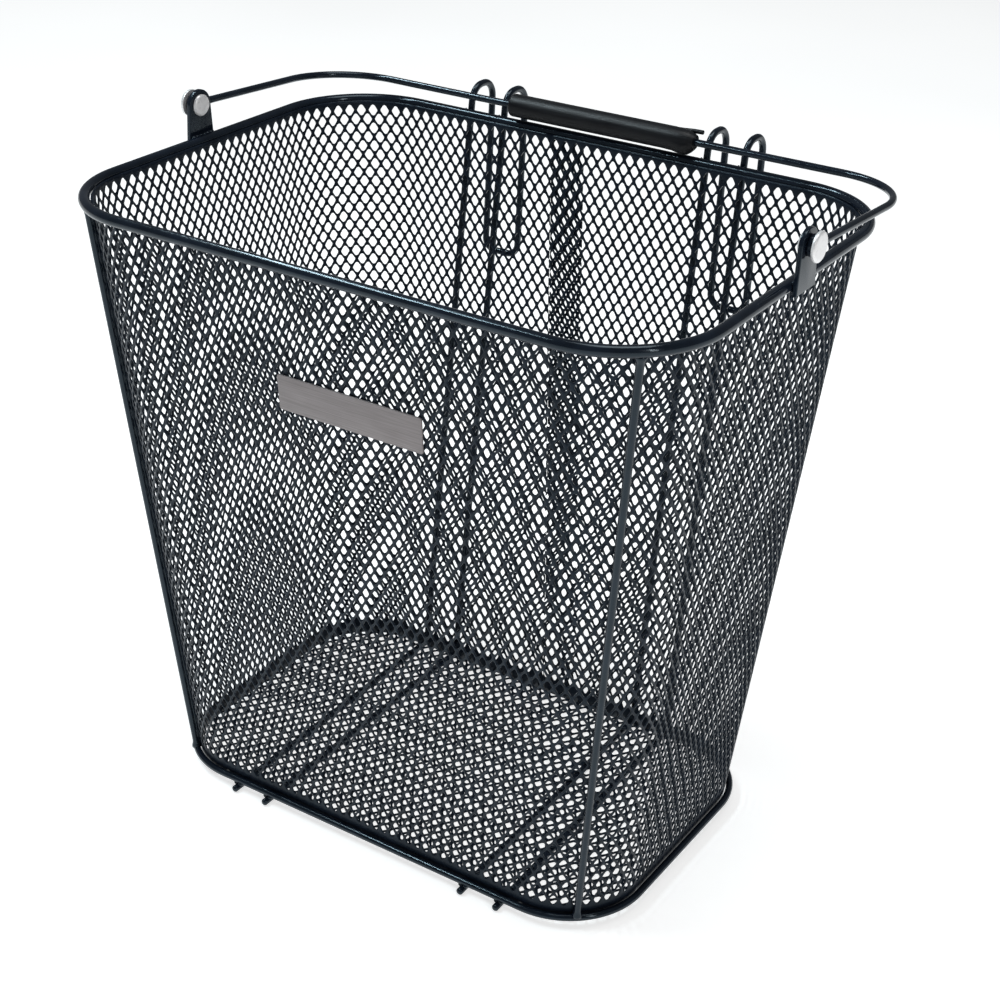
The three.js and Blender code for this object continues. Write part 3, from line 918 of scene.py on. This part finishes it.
def grip_radius(x, down):
    """The grip's radius along X; its right end swells below, where it rests on the rim."""
    radius = GRIP["radius"]
    if x < GRIP["left"] + 1.2:
        gone = min(1.0, (GRIP["left"] + 1.2 - x) / 1.2)
        radius -= 1.2 * (1 - (1 - gone**2) ** 0.5)
    swell = np.interp(x, [40, 46, 50, 53, 55, 57.5, 59], [0, 0.25, 1.0, 1.25, 0.9, -0.8, -2.6])
    pinch = np.interp(x, [46, 52, 56, 59], [0, -0.3, -1.0, -2.4])
    return radius + swell * down + pinch * (1 - down)


def grip_section(x):
    """One closed outline across the grip: round the outside, then down into the slit and back."""
    outline = []
    half = GRIP["half_slit"]
    lip = half / GRIP["radius"]
    turns = np.concatenate(([lip + 0.1, lip + 0.18], np.linspace(lip + 0.3, 2 * pi - lip - 0.3, 40)))
    turns = np.concatenate((turns, [2 * pi - lip - 0.18, 2 * pi - lip - 0.1]))
    for turn in turns:
        angle = pi / 2 - SLIT_LEAN + turn
        down = max(0.0, -sin(angle)) ** 0.7
        r = grip_radius(x, down)
        outline.append((r * cos(angle), r * sin(angle)))
    top = grip_radius(x, 0)
    groove = [(half, top - 0.35), (half, top - 0.9), (half, GRIP["bore"])]
    groove += [(-half, GRIP["bore"]), (-half, top - 0.9), (-half, top - 0.35)]
    for across, up in groove:
        y = across * cos(SLIT_LEAN) + up * sin(SLIT_LEAN)
        outline.append((y, up * cos(SLIT_LEAN) - across * sin(SLIT_LEAN)))
    return outline


def grip():
    """A split tube snapped over the wire, with a prong at the right end of its slit."""
    left, right = GRIP["left"], GRIP["right"]
    places = [left, left + 0.3, left + 0.7, left + 1.2, left + 2] + list(np.linspace(-50, 40, 19))
    places += [43, 46, 48, 50, 51.5, 53, 54, 55, 56, 57, 57.8, 58.5, right]
    vertices = []
    for x in places:
        section = grip_section(x)
        vertices += [(x, BAIL["reach"] + y, z) for y, z in section]
    faces = skin(len(places), len(section))
    rise = GRIP["radius"] - 1.9
    route = [(44, 3.0, rise - 0.2), (50, 3.0, rise + 0.1)]
    route += [(56, 3.1, rise + 0.6), (62.0, 3.3, rise + 0.7)]
    prong = [(x, BAIL["reach"] + y, z) for x, y, z in route]
    smooth = np.array([np.interp(np.linspace(0, 3, 16), range(4), axis) for axis in zip(*prong)]).T
    prong_part = tube(smooth, 1.25, 14, cap=0.4)
    vertices, faces = joined((vertices, faces), prong_part)
    new_object("grip_tube", on_bail(vertices), faces, GRIP_PLASTIC, "bail", ["grip"], sharp=35)


# ---------------------------------------------------------------- the blank plate
PLATE = {"width": 86.5, "height": 19.5, "thick": 1.0, "corner": 1.5, "x": 10.3, "z": 276.6}


def name_plate():
    """A thin stamped plate on the front wall. It is blank."""
    half_x, half_y, r = PLATE["width"] / 2, PLATE["height"] / 2, PLATE["corner"]
    outline = []
    for quarter, (sx, sy) in enumerate(((1, 1), (-1, 1), (-1, -1), (1, -1))):
        for i in range(7):
            angle = (quarter + i / 6) * pi / 2
            across = sx * (half_x - r) + r * cos(angle)
            outline.append((across, sy * (half_y - r) + r * sin(angle)))
    flat, faces = slab(outline, PLATE["thick"], 0.35)
    lean_angle = atan2((SHEET_TOP["depth"] - SHEET_BOTTOM["depth"]) / 2 + BOTTOM["y"], RISE)
    share = (PLATE["z"] - BOTTOM_Z) / RISE
    depth = SHEET_BOTTOM["depth"] * (1 - share) + SHEET_TOP["depth"] * share
    wall_y = BOTTOM["y"] * (1 - share) + PLAN_Y - depth / 2
    vertices = []
    for x, up, out in flat:
        out += THICK / 2 + GAP
        y = wall_y - out * cos(lean_angle) - up * sin(lean_angle)
        z = PLATE["z"] + up * cos(lean_angle) - out * sin(lean_angle)
        vertices.append((PLATE["x"] + x, y, z))
    nodes = ["name_plate"]
    new_object("name_plate_blank", vertices, faces, PLATE_METAL, nodes=nodes, sharp=50)


rings()
corner_rods()
hook_wires()
hook_welds()
lugs()
rivets()
bail_wire()
grip()
name_plate()

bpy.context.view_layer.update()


# ---------------------------------------------------------------- floor and light
def stage_floor():
    made, nodes, links, shader = material("floor_paint")
    drift = noise_node(nodes, links, 1.5, 2.0)
    stops = [(0.3, (0.86, 0.86, 0.855)), (0.7, (0.9, 0.9, 0.895))]
    colour = ramp_node(nodes, links, drift.outputs["Fac"], stops)
    links.new(colour.outputs["Color"], shader.inputs["Base Color"])
    links.new(colour.outputs["Color"], shader.inputs["Emission Color"])
    shader.inputs["Emission Strength"].default_value = 0.75
    shader.inputs["Roughness"].default_value = 0.9
    mesh = bpy.data.meshes.new("studio_floor")
    size = 12.0
    corners = [(-size, -size, 0), (size, -size, 0), (size, size, 0), (-size, size, 0)]
    mesh.from_pydata(corners, [], [(0, 1, 2, 3)])
    mesh.materials.append(made)
    floor = bpy.data.objects.new("studio_floor", mesh)
    floor.location.z = -0.0002
    bpy.context.scene.collection.objects.link(floor)


def area_light(name, place, target, size, radiance, colour=(1, 1, 1)):
    """A rectangular light whose brightness is given as radiance."""
    data = bpy.data.lights.new(name, "AREA")
    data.shape = "RECTANGLE"
    data.size, data.size_y = size
    data.energy = radiance * pi * size[0] * size[1]
    data.color = colour
    light = bpy.data.objects.new(name, data)
    light.location = place
    direction = Vector(target) - Vector(place)
    light.rotation_euler = direction.to_track_quat("-Z", "Y").to_euler()
    bpy.context.scene.collection.objects.link(light)


def lights():
    world = bpy.data.worlds.new("studio")
    world.use_nodes = True
    background = world.node_tree.nodes["Background"]
    background.inputs["Color"].default_value = (0.92, 0.96, 1, 1)
    background.inputs["Strength"].default_value = 0.16
    bpy.context.scene.world = world
    area_light("overhead", (0.1, 0.1, 2.0), (0, 0, 0.2), (0.9, 0.9), 4.0)
    area_light("strip", (-0.85, -0.27, 1.55), (0, 0, 0.3), (1.2, 0.06), 60.0, (0.8, 0.94, 1.0))
    area_light("right", (1.5, -0.7, 1.0), (0, 0, 0.25), (0.1, 0.9), 14.0, (1.0, 0.94, 0.92))


stage_floor()
lights()
bpy.context.scene.view_settings.view_transform = "Standard"
